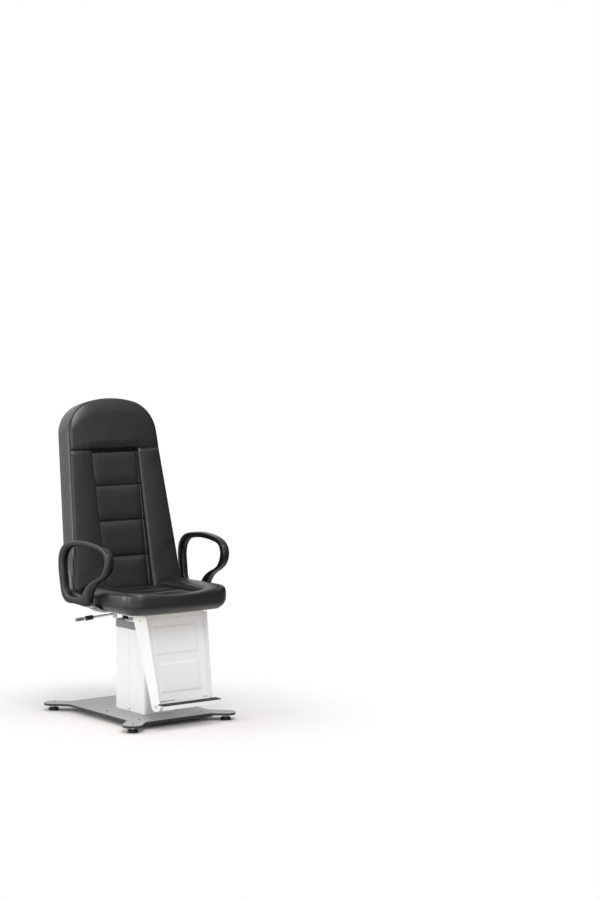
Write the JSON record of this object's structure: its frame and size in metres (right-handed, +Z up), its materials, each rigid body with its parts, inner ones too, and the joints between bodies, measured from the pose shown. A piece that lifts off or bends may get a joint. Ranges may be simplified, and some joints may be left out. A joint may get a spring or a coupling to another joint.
{
  "type": "ophthalmic examination chair",
  "caption": "Motor-lift examination chair with a tall padded back, closed arm loops, a leg panel with foot plate, a swivel brake lever and a four-legged base plate.",
  "frame": {"origin": "on the floor, below the middle of the chair's outline", "axes": "+Z up, the sitter faces -Y, +X is the sitter's left"},
  "size_m": [0.6794, 0.8155, 1.4191],
  "materials": {
    "base_steel": "satin powder coat, mid grey",
    "white_lacquer": "smooth white lacquer",
    "collar_grey": "matt grey moulding",
    "black_rubber": "matt black rubber",
    "zinc_steel": "bright zinc plate",
    "plain_steel": "plain steel",
    "glide_plastic": "slippery off-white plastic",
    "black_leather": "smooth black upholstery",
    "arm_skin": "soft black integral foam",
    "board_wood": "birch plywood",
    "black_plastic": "black moulded plastic",
    "grey_grip": "grey soft grip",
    "motor_shell": "dark motor housing"
  },
  "bodies": {
    "base": {"base_plate": "base_steel", "base_stiffener": "base_steel", "levelling_pads": "black_rubber", "levelling_studs": "zinc_steel", "jam_nuts": "zinc_steel", "front_cover": "white_lacquer", "rear_cover": "white_lacquer", "cover_screws": "black_plastic", "cover_lugs": "plain_steel", "guide_tube": "plain_steel", "guide_bolts": "zinc_steel", "guide_glides": "glide_plastic", "gear_case": "motor_shell", "lift_motor": "motor_shell", "jack_tube": "plain_steel"},
    "carriage": {"lift_tube": "plain_steel", "lift_glides": "glide_plastic", "push_rod": "zinc_steel", "sliding_shroud": "white_lacquer", "carriage_plate": "plain_steel", "collar": "collar_grey", "brake_disc": "zinc_steel", "swivel_post": "zinc_steel", "thrust_bearing": "zinc_steel", "swivel_cap": "zinc_steel"},
    "seat": {"swivel_hub": "plain_steel", "seat_frame": "white_lacquer", "seat_board": "board_wood", "seat_cushion": "black_leather", "left_arm_bracket": "zinc_steel", "right_arm_bracket": "zinc_steel", "left_arm_loop": "arm_skin", "right_arm_loop": "arm_skin", "left_arm_screws": "zinc_steel", "right_arm_screws": "zinc_steel", "left_leg_flange": "white_lacquer", "right_leg_flange": "white_lacquer", "leg_panel": "white_lacquer", "foot_plate": "white_lacquer", "foot_tread": "black_rubber", "leg_screws": "zinc_steel", "lever_fork": "white_lacquer", "lever_pin": "zinc_steel", "hinge_brackets": "zinc_steel", "hinge_pins": "zinc_steel"},
    "brake_lever": {"lever_rod": "zinc_steel", "lever_knob": "black_plastic", "lever_ring": "zinc_steel", "lever_grip": "grey_grip", "brake_shoe": "black_rubber"},
    "back": {"back_frame": "plain_steel", "back_board": "board_wood", "back_cushion": "black_leather"}
  },
  "joints": [
    {"name": "seat_lift", "type": "slide", "parent": "base", "child": "carriage", "axis": [0, 0, 1], "range_m": [0, 0.2]},
    {"name": "seat_swivel", "type": "hinge", "parent": "carriage", "child": "seat", "pos_m": [0, -0.028, 0.45], "axis": [0, 0, 1], "continuous": true},
    {"name": "brake_lever_pivot", "type": "hinge", "parent": "seat", "child": "brake_lever", "pos_m": [-0.128, 0.027, 0.468], "axis": [0, -1, 0], "range_deg": [0, 8], "stiffness_Nm_per_rad": 8, "springref_deg": -8.59},
    {"name": "back_recline", "type": "hinge", "parent": "seat", "child": "back", "pos_m": [0, 0.16613, 0.5], "axis": [-1, 0, 0], "range_deg": [0, 30]}
  ]
}
